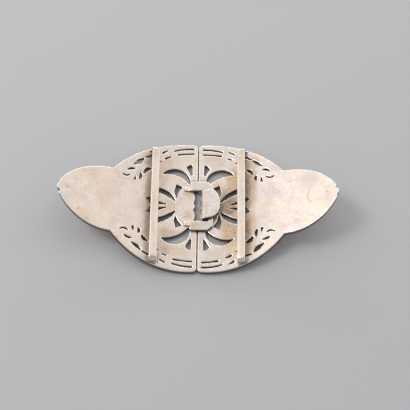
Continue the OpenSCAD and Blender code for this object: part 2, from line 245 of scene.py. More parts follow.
def tapered(row, steps=7):
    """A cut that swells and narrows along a gentle curve through three places."""
    a, b, c = (row[0], row[1]), (row[3], row[4]), (row[6], row[7])
    first, second = math.dist(a, b), math.dist(b, c)
    turn = first / (first + second)

    def along(t):
        la = (t - turn) * (t - 1) / turn
        lb = t * (t - 1) / (turn * (turn - 1))
        lc = t * (t - turn) / (1 - turn)
        return (a[0] * la + b[0] * lb + c[0] * lc, a[1] * la + b[1] * lb + c[1] * lc)

    def width(t):
        if t < turn:
            share = math.sin(t / turn * math.pi / 2) if row[5] > row[2] else t / turn
            return lerp(row[2], row[5], share)
        share = smooth(turn, 1, t) if row[5] > row[8] else (t - turn) / (1 - turn)
        return lerp(row[5], row[8], share)

    right, left = [], []
    for i in range(2 * steps + 1):
        t = i / (2 * steps)
        p, q, r = along(t), along(max(t - 0.01, 0)), along(min(t + 0.01, 1))
        run = math.dist(q, r)
        nx, ny = -(r[1] - q[1]) / run, (r[0] - q[0]) / run
        w = width(t) / 2
        right.append((p[0] - nx * w, p[1] - ny * w))
        left.append((p[0] + nx * w, p[1] + ny * w))
    start_turn = angle_to(a, right[0])
    end_turn = angle_to(c, right[-1])
    start_cap = arc(a, row[2] / 2, start_turn - 180, start_turn, 4)[1:-1]
    end_cap = arc(c, row[8] / 2, end_turn, end_turn + 180, 5)[1:-1]
    return right + end_cap + left[::-1] + start_cap


def moon(spec):
    """A crescent between two arcs, its two points blunted by the file."""
    outer, outer_radius, inner, inner_radius = spec
    dx, dy = inner[0] - outer[0], inner[1] - outer[1]
    apart = math.hypot(dx, dy)
    reach = (outer_radius ** 2 - inner_radius ** 2 + apart ** 2) / (2 * apart)
    rise = math.sqrt(outer_radius ** 2 - reach ** 2)
    foot = (outer[0] + dx * reach / apart, outer[1] + dy * reach / apart)
    ends = [(foot[0] - dy * rise / apart * s, foot[1] + dx * rise / apart * s) for s in (1, -1)]
    far_end, near_end = sorted(ends, key=lambda p: -p[0])
    trim = 2.2
    start, end = angle_to(outer, far_end) + trim, angle_to(outer, near_end) - trim
    if end < start:
        end += 360
    back_start = angle_to(inner, near_end) - trim * 0.5
    back_end = angle_to(inner, far_end) + trim * 0.5
    return arc(outer, outer_radius, start, end, 30) + arc(inner, inner_radius, back_start, back_end, 24)


def rounded(corners, radius=0.22, steps=3):
    """A closed shape whose corners are rounded by the saw, or left where they are gentle."""
    points = []
    count = len(corners)
    for i, here in enumerate(corners):
        before, after = Vector(corners[i - 1]), Vector(corners[(i + 1) % count])
        p = Vector(here)
        a, b = before - p, after - p
        cut_a, cut_b = min(radius * 1.6, a.length * 0.45), min(radius * 1.6, b.length * 0.45)
        start, end = p + a.normalized() * cut_a, p + b.normalized() * cut_b
        for k in range(steps + 1):
            t = k / steps
            q = start.lerp(p, t).lerp(p.lerp(end, t), t)
            points.append((q.x, q.y))
    return points


def half_cuts(cuts, crescent, cornered, dot):
    shapes = [tapered(row) for row in cuts]
    shapes.append(moon(crescent))
    shapes += [rounded(corners) for corners in cornered.values()]
    shapes.append(arc(dot, DOT_RADIUS, 0, 330, 11))
    return shapes


def flipped(shape):
    return [(x, -y) for x, y in reversed(shape)]


def plate_cuts():
    near = half_cuts(NEAR_CUTS, NEAR_CRESCENT, NEAR_CORNERED, NEAR_DOT)
    far = half_cuts(FAR_CUTS, FAR_CRESCENT, FAR_CORNERED, FAR_DOT)
    return near + [flipped(shape) for shape in far]


# Making meshes


def spaced(loop, longest):
    """The same loop with no stretch longer than asked, and no doubled points."""
    points = []
    for i, a in enumerate(loop):
        b = loop[(i + 1) % len(loop)]
        length = math.dist(a, b)
        if length < 0.02:
            continue
        pieces = max(1, math.ceil(length / longest))
        for k in range(pieces):
            points.append((lerp(a[0], b[0], k / pieces), lerp(a[1], b[1], k / pieces)))
    return points


def turn_area(loop):
    return sum(a[0] * b[1] - b[0] * a[1] for a, b in zip(loop, loop[1:] + loop[:1])) / 2


def inset_directions(loop):
    """For an anticlockwise loop, the way into the shape at each point, stretched at its corners."""
    ways = []
    for i, p in enumerate(loop):
        a, b = Vector(loop[i - 1]), Vector(loop[(i + 1) % len(loop)])
        p = Vector(p)
        e, f = (p - a).normalized(), (b - p).normalized()
        n, m = Vector((-e.y, e.x)), Vector((-f.y, f.x))
        way = n + m
        if way.length < 1e-6:
            way = n.copy()
        way.normalize()
        way *= min(LONGEST_WAY, 1 / max(way.dot(n), 0.2))
        ways.append(way)
    return ways


def sheet_loops(outer, holes, grid):
    """The rim of a sheet anticlockwise and its holes clockwise, in even stretches."""
    loops = [spaced(outer, grid)] + [spaced(hole, grid)[::-1] for hole in holes]
    for i, loop in enumerate(loops):
        if (turn_area(loop) < 0) == (i == 0):
            loop.reverse()
    return loops


def sheet_profile(thick, edge, front_edge):
    """Down the wall of a sheet, over its two rounded rims: how far in, and how deep."""
    turns = [math.radians(90 * k / RIM_STEPS) for k in range(RIM_STEPS + 1)]
    back = [(edge * (1 - math.sin(a)), edge * (1 - math.cos(a))) for a in turns]
    front = [(front_edge * (1 - math.cos(a)), thick - front_edge * (1 - math.sin(a))) for a in turns]
    return [(edge + RING, 0)] + back + front + [(front_edge + RING, thick)]


def moved_in(loop, ways, inset):
    return [Vector((p[0] + way.x * inset, p[1] + way.y * inset)) for p, way in zip(loop, ways)]


def free_points(border, outline, grid):
    """Points in offset rows all over the box of an outline, none of them close to the border."""
    low_x, low_y = min(p[0] for p in outline), min(p[1] for p in outline)
    columns = int((max(p[0] for p in outline) - low_x) / grid) + 1
    lines = int((max(p[1] for p in outline) - low_y) / grid) + 1
    cells = {}
    for p in border:
        cells.setdefault((int(p.x // grid), int(p.y // grid)), []).append(p)
    points = []
    for i in range(columns + 1):
        for j in range(lines + 1):
            p = Vector((low_x + (i + (j % 2) * 0.5) * grid, low_y + j * grid))
            cx, cy = int(p.x // grid), int(p.y // grid)
            near = [q for a in (-1, 0, 1) for b in (-1, 0, 1) for q in cells.get((cx + a, cy + b), [])]
            if all((q - p).length >= grid * MESH_CLEARANCE for q in near):
                points.append(p)
    return points


def in_metal(place, points, edges):
    """Whether a flat place lies inside the rim and outside every hole."""
    odd = False
    for start, end in edges:
        (ax, ay), (bx, by) = points[start], points[end]
        if (ay > place.y) != (by > place.y) and place.x < (bx - ax) * (place.y - ay) / (by - ay) + ax:
            odd = not odd
    return odd


def fill_side(mesh, borders, outline, depth, upward, grid, place):
    """The flat back or front of a sheet. Borders are the places and the vertices where its walls end."""
    flat, owners, edges = [], [], []
    for places, row in borders:
        first, count = len(flat), len(row)
        flat += places
        owners += row
        edges += [(first + i, first + (i + 1) % count) for i in range(count)]
    flat += free_points(flat, outline, grid)
    made, _, faces, sources, _, _ = geometry.delaunay_2d_cdt(flat, edges, [], 0, 1e-6)
    verts = []
    for p, source in zip(made, sources):
        owner = next((k for k in source if k < len(owners)), None)
        verts.append(mesh.verts.new(place(p.x, p.y, depth)) if owner is None else owners[owner])
    for face in faces:
        middle = sum((made[k] for k in face), Vector((0, 0))) / len(face)
        corners = [verts[k] for k in (face if upward else reversed(face))]
        if len(set(corners)) == len(face) and in_metal(middle, flat, edges) and not mesh.faces.get(corners):
            mesh.faces.new(corners)


def rim_and_wall_mesh():
    """A mesh whose vertices carry how bare of tarnish a rim is, together with a painted highlight there, and
    how far they are down a side wall, where tarnish and painted shade go.
    """
    mesh = bmesh.new()
    return mesh, mesh.verts.layers.float.new("rim"), mesh.verts.layers.float.new("wall")


def join_rows(mesh, rows):
    """Faces between rows of vertices, each of which runs round a closed loop."""
    for upper, lower in zip(rows, rows[1:]):
        for i in range(len(upper)):
            j = (i + 1) % len(upper)
            mesh.faces.new((upper[i], lower[i], lower[j], upper[j]))


def bevelled_sheet(name, outer, holes, thick, edge, place, grid, front_edge=None):
    """A sheet of metal with rounded rims, pierced by holes, and laid in space by place(along, up, depth)."""
    profile = sheet_profile(thick, edge, edge if front_edge is None else front_edge)
    loops = sheet_loops(outer, holes, grid)
    mesh, rim, wall = rim_and_wall_mesh()
    walls = []
    for loop in loops:
        ways = inset_directions(loop)
        rows = []
        for inset, depth in profile:
            row = []
            for p in moved_in(loop, ways, inset):
                v = mesh.verts.new(place(p.x, p.y, depth))
                # Rims get bare metal with a painted highlight; side walls get tarnish with painted shade.
                bare_and_highlit = (1 - smooth(edge * 0.5, edge, depth)) * (1 - 0.5 * smooth(edge * 0.6, edge, inset))
                v[rim] = 0.0 if inset > edge else bare_and_highlit
                v[wall] = smooth(edge * 0.3, edge, depth)
                row.append(v)
            rows.append(row)
        join_rows(mesh, rows)
        walls.append((loop, ways, rows))
    for end, upward in ((0, True), (-1, False)):
        inset, depth = profile[end]
        borders = [(moved_in(loop, ways, inset), rows[end]) for loop, ways, rows in walls]
        fill_side(mesh, borders, loops[0], depth, upward, grid, place)
    loose = [v for v in mesh.verts if not v.link_faces]
    bmesh.ops.delete(mesh, geom=loose, context="VERTS")
    return finish_mesh(name, mesh)


def finish_mesh(name, mesh):
    bmesh.ops.recalc_face_normals(mesh, faces=mesh.faces)
    data = bpy.data.meshes.new(name)
    mesh.to_mesh(data)
    mesh.free()
    for polygon in data.polygons:
        polygon.use_smooth = True
    made = bpy.data.objects.new(name, data)
    bpy.context.scene.collection.objects.link(made)
    return made


# Where things lie

FRONT_RADIUS = BOW_RADIUS + PLATE_THICK
BAR_TILT = BAR_ALONG / BOW_RADIUS


def unroll(loop):
    """From distance out along X to distance along the bow."""
    return [(BOW_RADIUS * math.asin(x / BOW_RADIUS), y) for x, y in loop]


def hand_ripple(x, y):
    """Small unevenness of a sheet worked by hand."""
    return RIPPLE * noise.noise(Vector((x * 0.11, y * 0.11, 3.7)))


def on_plate(side, turn):
    """Places a point of a plate: side and turn are the signs of X and Y."""

    def place(along, up, depth):
        angle = along / BOW_RADIUS
        lean = angle * (1 - smooth(*LEAN_FADES, abs(along)))
        x = BOW_RADIUS * math.sin(angle)
        z = FRONT_RADIUS - BOW_RADIUS * math.cos(angle)
        stretch = depth / max(math.cos(angle - lean), 0.7)
        ripple = hand_ripple(x * side, up * turn) * (1 - depth / PLATE_THICK)
        ripple *= smooth(0, RIPPLE_STARTS, abs(along))
        x += math.sin(lean) * stretch
        z -= math.cos(lean) * stretch - ripple
        return Vector((x * side, up * turn, max(z, 0.0))) * MM

    return place


def on_bar(side, turn):
    """Places a point of a belt bar: across its width, along it, and its height over the plate."""

    def place(across, up, height):
        deep = FRONT_RADIUS - (PLATE_THICK + height)
        x = across * math.cos(BAR_TILT) + deep * math.sin(BAR_TILT)
        z = FRONT_RADIUS + across * math.sin(BAR_TILT) - deep * math.cos(BAR_TILT)
        return Vector((x * side, up * turn, z)) * MM

    return place


def on_loop(along, up, depth):
    """The eye loop: raised arms that step down to thin feet on the left plate."""
    step = smooth(*LOOP_STEP, along)
    height = lerp(LOOP_FOOT_HEIGHT, LOOP_CLEAR + LOOP_THICK, step)
    arm = LOOP_THICK + LOOP_UNDER * (1 - smooth(*LOOP_RISES_FREE, along))
    thick = lerp(LOOP_FOOT_HEIGHT + LOOP_SUNK, arm, step)
    z = PLATE_THICK + height - depth / LOOP_THICK * thick
    return Vector((along, up, z)) * MM


def on_hook(along, up, depth):
    """The folded strip: a short leg on the plate, the fold, and the leaf above."""
    if along < HOOK_LEG:
        x, z, nx, nz = HOOK_LEG_END - along, 0.0, 0.0, 1.0
    elif along < HOOK_LEG + HOOK_TURN:
        a = (along - HOOK_LEG) / HOOK_BEND
        nx, nz = math.sin(a), math.cos(a)
        x = HOOK_FOLD + HOOK_BEND - HOOK_BEND * nx
        z = HOOK_BEND - HOOK_BEND * nz
    else:
        x, z, nx, nz = HOOK_FOLD + HOOK_BEND + along - HOOK_LEG - HOOK_TURN, HOOK_RISE, 0.0, -1.0
    return Vector((x + nx * depth, up, PLATE_THICK + z + nz * depth)) * MM


# Pieces


def make_plate(name, side, turn):
    outline, cuts, place = unroll(plate_outline()), plate_cuts(), on_plate(side, turn)
    return bevelled_sheet(
        name, outline, cuts, PLATE_THICK, PLATE_EDGE, place, PLATE_GRID, front_edge=PLATE_FRONT_EDGE
    )


def bar_section(steps=5):
    """Across the flat strip: rounded along both edges and crowned on top, measured from its middle."""
    across, rise = BAR_WIDTH / 2 - BAR_EDGE, BAR_THICK / 2 - BAR_EDGE
    points = arc((across, -rise), BAR_EDGE, -90, 0, steps)
    points += arc((across, rise), BAR_EDGE, 0, 90, steps)
    for t in (0.25, 0.5, 0.75):
        points.append((lerp(across, -across, t), BAR_THICK / 2 + BAR_CROWN * math.sin(math.pi * t)))
    points += arc((-across, rise), BAR_EDGE, 90, 180, steps)
    points += arc((-across, -rise), BAR_EDGE, 180, 270, steps)
    return points


def bar_path():
    """Along the bar from foot to foot: up, height and the angle it faces, at mid thickness."""
    half_thick = BAR_THICK / 2
    bend = BAR_TURN - half_thick
    end = BAR_HALF - half_thick
    leg = [(-end, height, 90.0) for height in BAR_LEG_HEIGHTS]
    for k in range(1, 8):
        turned = 90 * k / 8
        a = math.radians(turned)
        leg.append((bend - end - bend * math.cos(a), BAR_RISE - BAR_TURN + bend * math.sin(a), 90 - turned))
    top = [(lerp(bend - end, end - bend, k / 40), BAR_RISE - half_thick, 0.0) for k in range(41)]
    return leg + top + [(-up, height, -face) for up, height, face in reversed(leg)]


def make_bar(name, side, turn):
    place = on_bar(side, turn)
    section = bar_section()
    mesh, rim, wall = rim_and_wall_mesh()
    rows = []
    for up, height, face in bar_path():
        a = math.radians(face)
        wander = BAR_WANDER * noise.noise(Vector((up * 0.09, side * 4.0, 0.0)))
        dip = BAR_DIP * noise.noise(Vector((up * 0.13, side * 9.0, 5.0))) if face == 0 else 0.0
        # Painted highlight on the bends and the long edges; painted shade on the legs and the underside.
        bend = smooth(15, 40, abs(face)) * smooth(75, 50, abs(face))
        leg = smooth(55, 85, abs(face))
        row = []
        for across, rise in section:
            up_here, height_here = up - rise * math.sin(a), height + dip + rise * math.cos(a)
            v = mesh.verts.new(place(across + wander, up_here, height_here))
            out = (abs(across) - BAR_WIDTH / 2 + BAR_EDGE) / BAR_EDGE
            bare_and_highlit = smooth(0.1, 0.6, out) * smooth(-0.1, 0.2, rise)
            v[rim] = max(bare_and_highlit * (1 - leg), 0.8 * bend)
            v[wall] = max(smooth(0.2, -0.3, rise) if abs(across) > 0.9 else 0.0, 0.6 * leg)
            row.append(v)
        rows.append(row)
    join_rows(mesh, rows)
    mesh.faces.new(rows[0])
    mesh.faces.new(rows[-1][::-1])
    return finish_mesh(name, mesh)


def make_foot(name, side, turn, end):
    """The pad under one leg of a bar, flooded with solder."""
    inner = BAR_HALF - BAR_THICK - FOOT_INSIDE
    near, far = FOOT_SET_IN - BAR_WIDTH / 2, BAR_WIDTH / 2 + FOOT_SPREAD
    corners = [(near, inner), (far, inner), (far, BAR_HALF + FOOT_FAR), (near, BAR_HALF + FOOT_NEAR)]
    shape = rounded(corners, FOOT_CORNER, 5)
    bar_place = on_bar(side, turn)

    def place(across, up, depth):
        return bar_place(across, up * end, FOOT_PAD - depth)

    return bevelled_sheet(name, shape, [], FOOT_PAD + FOOT_SUNK, FOOT_EDGE, place, FOOT_GRID)


def make_loop(name):
    inner = LOOP_HALF - LOOP_ARM
    outer = [
        (-LOOP_START, -LOOP_HALF),
        (LOOP_END - LOOP_SLANT, -LOOP_HALF),
        (LOOP_END, LOOP_SLANT - LOOP_HALF),
        (LOOP_END, LOOP_HALF - LOOP_SLANT),
        (LOOP_END - LOOP_SLANT, LOOP_HALF),
        (-LOOP_START, LOOP_HALF),
        (-LOOP_START, LOOP_FOOT_OUTER),
        (-LOOP_FOOT, LOOP_FOOT_OUTER - LOOP_FOOT_TAPER),
        (-LOOP_FOOT, LOOP_FOOT_INNER),
        (-LOOP_START, inner),
        (LOOP_END - CROSS_BAR, inner),
        (LOOP_END - CROSS_BAR, -inner),
        (-LOOP_START, -inner),
        (-LOOP_FOOT, -LOOP_FOOT_INNER),
        (-LOOP_FOOT, LOOP_FOOT_TAPER - LOOP_FOOT_OUTER),
        (-LOOP_START, -LOOP_FOOT_OUTER),
    ]
    shape = rounded(outer, LOOP_CORNER, 4)
    return bevelled_sheet(name, shape, [], LOOP_THICK, CATCH_EDGE, on_loop, LOOP_GRID)


def hook_side(x, half):
    """Height of the upper or lower edge of the hook, which rises outward."""
    return HOOK_SLANT * (x - HOOK_FOLD) - HOOK_DROP + half


def hook_outline():
    """The strip of the hook laid flat: leg, fold, and the leaf with its rounded corners."""
    bent = HOOK_FOLD + HOOK_BEND
    leaf = HOOK_LEG + HOOK_TURN
    stops = ((0.0, HOOK_LEG_END), (HOOK_LEG, bent), (HOOK_LEG + HOOK_TURN / 2, HOOK_FOLD), (leaf, bent))
    sides, turns = [], []
    for half in (-HOOK_HALF, HOOK_HALF):
        x = HOOK_FOLD
        while math.dist((x, hook_side(x, half)), HOOK_ROUND_AT) < HOOK_ROUND:
            x += 0.01
        turns.append(angle_to(HOOK_ROUND_AT, (x, hook_side(x, half))))
        x -= HOOK_BLEND
        side = [(along, hook_side(place, half)) for along, place in stops]
        sides.append(side + [(x + leaf - bent, hook_side(x, half))])
    start, stop = turns[0] + HOOK_BLEND_TURN, turns[1] - HOOK_BLEND_TURN
    end = []
    for x, y in arc(HOOK_ROUND_AT, HOOK_ROUND, start, stop, 32):
        end.append((min(x, HOOK_END + HOOK_END_GIVE * (x - HOOK_END)) + leaf - bent, y))
    return sides[0] + end + sides[1][::-1]


def make_hook(name):
    return bevelled_sheet(name, hook_outline(), [], HOOK_THICK, CATCH_EDGE, on_hook, HOOK_GRID)


def make_bead(name):
    """A small frozen drop of solder."""
    mesh, rim, wall = rim_and_wall_mesh()
    bmesh.ops.create_icosphere(mesh, subdivisions=3, radius=BEAD_RADIUS * MM)
    for v in mesh.verts:
        v.co *= 1 + BEAD_LUMPS * noise.noise(v.co * 900)
        # The whole bead gets a painted highlight through its rim value.
        v[rim], v[wall] = 0.8, 0.0
        v.co += Vector(BEAD_AT) * MM
    return finish_mesh(name, mesh)


# Finishes. Each effect is a node group, built once and placed in every material with its own values.


class Wiring:
    """Adds shader nodes to a tree. Sockets that it is given are linked, and numbers and colours are set."""

    def __init__(self, tree):
        self.tree = tree

    def feed(self, target, value):
        if isinstance(value, bpy.types.NodeSocket):
            self.tree.links.new(value, target)
        elif value is not None:
            target.default_value = value

    def node(self, kind, inputs=None, **settings):
        made = self.tree.nodes.new("ShaderNode" + kind)
        for key, value in settings.items():
            setattr(made, key, value)
        for key, value in (inputs or {}).items():
            self.feed(made.inputs[key], value)
        return made

    def maths(self, operation, a, b=None, clamp=False):
        return self.node("Math", {0: a, 1: b}, operation=operation, use_clamp=clamp).outputs[0]

    def vector(self, operation, a, b=None):
        made = self.node("VectorMath", {0: a, 1: b}, operation=operation)
        return made.outputs["Value" if operation in ("LENGTH", "DISTANCE", "DOT_PRODUCT") else "Vector"]

    def scaled(self, value, share):
        return self.node("VectorMath", {0: value, "Scale": share}, operation="SCALE").outputs["Vector"]

    def around_middle(self, value, share):
        """How far a value from 0 to 1 lies over or under one half, times its share."""
        return self.maths("MULTIPLY", self.maths("SUBTRACT", value, 0.5), share)

    def drift(self, place, *noise_values):
        """A wavering offset, by which an edge is made ragged."""
        return self.vector("SUBTRACT", self.noise(place, *noise_values, colour=True), (0.5, 0.5, 0.5))

    def noise(self, place, scale, detail=4.0, rough=0.55, colour=False):
        made = self.node("TexNoise", {"Vector": place, "Scale": scale, "Detail": detail, "Roughness": rough})
        return made.outputs["Color" if colour else "Fac"]

    def spread(self, value, low, high, to_low=0.0, to_high=1.0):
        inputs = {0: value, 1: low, 2: high, 3: to_low, 4: to_high}
        return self.node("MapRange", inputs, interpolation_type="SMOOTHSTEP").outputs[0]

    def blend(self, amount, a, b, how="MIX"):
        made = self.node("Mix", data_type="RGBA", blend_type=how)
        for index, value in ((0, amount), (6, a), (7, b)):
            self.feed(made.inputs[index], value)
        return made.outputs[2]

    def place_group(self, group, inputs):
        made = self.tree.nodes.new("ShaderNodeGroup")
        made.node_tree = group
        for key, value in inputs.items():
            self.feed(made.inputs[key], value)
        return made.outputs


def new_group(name, inputs, outputs):
    """Starts a node group. Inputs are name, kind and value; outputs are name and kind."""
    group = bpy.data.node_groups.new(name, "ShaderNodeTree")
    for label, kind, value in inputs:
        made = group.interface.new_socket(name=label, in_out="INPUT", socket_type="NodeSocket" + kind)
        made.default_value = value
    for label, kind in outputs:
        group.interface.new_socket(name=label, in_out="OUTPUT", socket_type="NodeSocket" + kind)
    wiring = Wiring(group)
    return group, wiring, group.nodes.new("NodeGroupInput").outputs, group.nodes.new("NodeGroupOutput").inputs


def stain_group():
    """One patch with a ragged edge, at a place in millimetres: tarnish, and in some rows painted shadow."""
    group, w, given, put = new_group(
        "stain",
        [("Place", "Vector", (0, 0, 0)), ("Centre", "Vector", (0, 0, 0)), ("Reach", "Vector", (5, 5, 50)),
         ("Ragged", "Float", 1.0), ("Strength", "Float", 1.0)],
        [("Amount", "Float")],
    )
    drift = w.scaled(w.drift(given["Place"], 0.45, 5.0, 0.65), given["Ragged"])
    away = w.vector("SUBTRACT", w.vector("ADD", given["Place"], drift), given["Centre"])
    far = w.vector("LENGTH", w.vector("DIVIDE", away, given["Reach"]))
    w.feed(put["Amount"], w.maths("MULTIPLY", w.spread(far, 1.25, 0.35), given["Strength"]))
    return group


def score_group():
    """A scored or dented line between two places in millimetres."""
    group, w, given, put = new_group(
        "score",
        [("Place", "Vector", (0, 0, 0)), ("From", "Vector", (0, 0, 0)), ("To", "Vector", (1, 0, 0)),
         ("Width", "Float", 0.3), ("Strength", "Float", 1.0)],
        [("Amount", "Float")],
    )
    flat = w.vector("MULTIPLY", given["Place"], (1, 1, 0))
    drift = w.vector("MULTIPLY", w.drift(flat, 0.9, 3.0), (0.5, 0.5, 0))
    here = w.vector("SUBTRACT", w.vector("ADD", flat, drift), given["From"])
    run = w.vector("SUBTRACT", given["To"], given["From"])
    covered, whole = w.vector("DOT_PRODUCT", here, run), w.vector("DOT_PRODUCT", run, run)
    foot = w.scaled(run, w.maths("DIVIDE", covered, whole, clamp=True))
    off = w.maths("DIVIDE", w.vector("DISTANCE", here, foot), given["Width"])
    w.feed(put["Amount"], w.maths("MULTIPLY", w.spread(off, 1.0, 0.2), given["Strength"]))
    return group


def mottle_group():
    """Unevenness that breaks up tarnish: soft clouds, fine grain and thin dark trails."""
    group, w, given, put = new_group(
        "mottle",
        [("Place", "Vector", (0, 0, 0)), ("Cloud", "Float", 0.22), ("Grain", "Float", 1.6)],
        [("Soft", "Float"), ("Fine", "Float"), ("Trail", "Float")],
    )
    ridge = w.maths("ABSOLUTE", w.maths("SUBTRACT", w.noise(given["Place"], 0.5, 3.0, 0.6), 0.5))
    broken = w.spread(w.noise(given["Place"], 0.9, 2.0), 0.46, 0.6)
    w.feed(put["Trail"], w.maths("MULTIPLY", w.spread(ridge, 0.022, 0.0), broken))
    w.feed(put["Soft"], w.spread(w.noise(given["Place"], given["Cloud"], 6.0, 0.62), 0.36, 0.66))
    w.feed(put["Fine"], w.spread(w.noise(given["Place"], given["Grain"], 5.0, 0.7), 0.44, 0.62))
    return group


def toning_group():
    """Changes of tone over the metal: where it turns lilac grey, creamy and pinkish."""
    group, w, given, put = new_group(
        "toning",
        [("Place", "Vector", (0, 0, 0)), ("Size", "Float", 9.0)],
        [("Lilac", "Float"), ("Cream", "Float"), ("Blush", "Float")],
    )
    scale = w.maths("DIVIDE", 1.0, given["Size"])
    shifted = w.vector("ADD", given["Place"], (37.0, -19.0, 11.0))
    fine = w.maths("MULTIPLY", scale, 4.0)
    w.feed(put["Blush"], w.spread(w.noise(shifted, fine, 4.0, 0.7), 0.42, 0.62))
    w.feed(put["Lilac"], w.spread(w.noise(given["Place"], scale, 5.0, 0.6), 0.48, 0.66))
    w.feed(put["Cream"], w.spread(w.noise(shifted, scale, 5.0, 0.6), 0.48, 0.66))
    return group


def speck_group():
    """Small pits and specks scattered over the metal."""
    group, w, given, put = new_group(
        "specks",
        [("Place", "Vector", (0, 0, 0)), ("Spacing", "Float", 2.6), ("Size", "Float", 0.2),
         ("Share", "Float", 0.4)],
        [("Amount", "Float")],
    )
    scale = w.maths("DIVIDE", 1.0, given["Spacing"])
    cells = w.node("TexVoronoi", {"Vector": given["Place"], "Scale": scale})
    chance = w.node("SeparateColor", {0: cells.outputs["Color"]}).outputs
    size = w.maths("DIVIDE", w.maths("MULTIPLY", given["Size"], chance[1]), given["Spacing"])
    spot = w.maths("SUBTRACT", 1.0, w.spread(w.maths("DIVIDE", cells.outputs["Distance"], size), 0.5, 1.0))
    w.feed(put["Amount"], w.maths("MULTIPLY", spot, w.maths("LESS_THAN", chance[0], given["Share"])))
    return group


def polish_group():
    """Marks of rubbing along one way, and shallow hollows left by the hammer."""
    group, w, given, put = new_group(
        "polish",
        [("Place", "Vector", (0, 0, 0)), ("Along", "Vector", (0.12, 2.2, 2.2)), ("Hollows", "Float", 0.16)],
        [("Marks", "Float"), ("Hollow", "Float")],
    )
    streaks = w.noise(w.vector("MULTIPLY", given["Place"], given["Along"]), 1.0, 5.0, 0.6)
    w.feed(put["Marks"], streaks)
    w.feed(put["Hollow"], w.noise(given["Place"], given["Hollows"], 2.0, 0.45))
    return group


# How strongly each mask of the skin acts: on its tone, on brown tarnish and painted shade, on roughness and
# on height
LILAC, CREAM, BLUSH = (0.62, 0.575, 0.56, 1), (0.74, 0.68, 0.53, 1), (0.75, 0.60, 0.535, 1)
TONE_SHARES = (("Lilac", 0.75, LILAC), ("Cream", 0.6, CREAM), ("Blush", 0.5, BLUSH))
# The rims blend to the bright colour: bare metal and a painted highlight.
RIM_SHARE = 0.9
# Walls go brown: tarnish and painted shade.
BROWN_SHARES = (("Specks", 0.75), ("Scores", 0.7), ("Wall", 0.82))
SHADE_SHARES = (("Marks", 0.12), ("Fine", 0.13))
ROUGH_BY_MARKS, ROUGH_BY_TAN, ROUGH_BY_BROWN, ROUGH_BY_RIM = 0.25, 0.1, 0.2, -0.16
HEIGHT_SHARES = (("Hollow", 3.0), ("Marks", 0.22), ("Fine", 0.08), ("Specks", -0.5), ("Scores", -0.6))
SKIN_MASKS = (
    ("Rough", 0.4), ("Tarnish", 0.0), ("Deep_And_Shade", 0.0), ("Dirt_And_Shade", 0.0), ("Rim", 0.0), ("Wall", 0.0),
    ("Soft", 0.5), ("Fine", 0.5), ("Trail", 0.0), ("Lilac", 0.0), ("Cream", 0.0), ("Blush", 0.5),
    ("Specks", 0.0), ("Scores", 0.0), ("Marks", 0.5), ("Hollow", 0.5),
)


def skin_group():
    """Old silver: what tarnish, dirt and painted shade in corners, painted shadows, bare rims with a painted
    highlight, side walls with painted shade, and marks do to colour, roughness and height.
    """
    group, w, given, put = new_group(
        "silver_skin",
        [("Clean", "Color", (0.9, 0.85, 0.8, 1)), ("Bright", "Color", (0.99, 0.95, 0.9, 1)),
         ("Tan", "Color", (0.7, 0.5, 0.33, 1)), ("Brown", "Color", (0.3, 0.2, 0.13, 1))]
        + [(label, "Float", value) for label, value in SKIN_MASKS],
        [("Colour", "Color"), ("Roughness", "Float"), ("Height", "Float")],
    )
    bare = w.maths("SUBTRACT", 1.0, given["Rim"])
    tan = w.maths("MULTIPLY", given["Tarnish"], w.spread(given["Fine"], 0.0, 1.0, 0.62, 1.0))
    tan = w.maths("ADD", tan, w.maths("MULTIPLY", given["Soft"], 0.14))
    tan = w.maths("MULTIPLY", tan, w.spread(bare, 0.0, 1.0, 0.25, 1.0), clamp=True)
    colour = given["Clean"]
    # Rims are blended to the bright colour: bare metal and a painted highlight.
    for mask, share, tone in TONE_SHARES + (("Rim", RIM_SHARE, given["Bright"]),):
        colour = w.blend(w.maths("MULTIPLY", given[mask], share), colour, tone)
    colour = w.blend(tan, colour, given["Tan"])
    # Brown covers tarnish stains and painted shadows, corner dirt with painted shade, and walls with tarnish
    # and painted shade.
    deep = w.maths("MULTIPLY", given["Deep_And_Shade"], w.spread(given["Fine"], 0.0, 1.0, 0.45, 1.0))
    deep = w.maths("MULTIPLY", deep, w.spread(bare, 0.0, 1.0, 0.3, 1.0))
    trail = w.maths("MULTIPLY", given["Trail"], w.spread(given["Tarnish"], 0.0, 1.0, 0.2, 0.8))
    deep = w.maths("MAXIMUM", deep, trail)
    for mask, share in BROWN_SHARES + (("Dirt_And_Shade", bare),):
        deep = w.maths("MAXIMUM", deep, w.maths("MULTIPLY", given[mask], share), clamp=True)
    colour = w.blend(deep, colour, given["Brown"])
    shade = 1.0
    for mask, share in SHADE_SHARES:
        shade = w.maths("ADD", shade, w.around_middle(given[mask], share))
    w.feed(put["Colour"], w.scaled(colour, shade))
    rough = w.maths("ADD", given["Rough"], w.around_middle(given["Marks"], ROUGH_BY_MARKS))
    for mask, share in ((tan, ROUGH_BY_TAN), (deep, ROUGH_BY_BROWN), (given["Rim"], ROUGH_BY_RIM)):
        rough = w.maths("ADD", rough, w.maths("MULTIPLY", mask, share), clamp=True)
    w.feed(put["Roughness"], rough)
    height = 0.0
    for mask, share in HEIGHT_SHARES:
        height = w.maths("ADD", height, w.maths("MULTIPLY", given[mask], share))
    w.feed(put["Height"], height)
    return group


STAIN, SCORE, MOTTLE, TONING = stain_group(), score_group(), mottle_group(), toning_group()
SPECKS, POLISH, SKIN = speck_group(), polish_group(), skin_group()

# Colours of the metal: clean, bare at the rims with a painted highlight, tan tarnish, and brown tarnish that
# also carries painted shade
LEFT_TONES = ((0.765, 0.665, 0.585), (1.0, 0.95, 0.88), (0.60, 0.435, 0.29), (0.13, 0.085, 0.055))
BAR_TONES = ((0.745, 0.655, 0.565), (1.0, 0.96, 0.89), (0.63, 0.475, 0.305), (0.16, 0.11, 0.07))
RIGHT_TONES = ((0.76, 0.69, 0.645), (1.0, 0.96, 0.91), (0.56, 0.37, 0.205), (0.13, 0.08, 0.05))


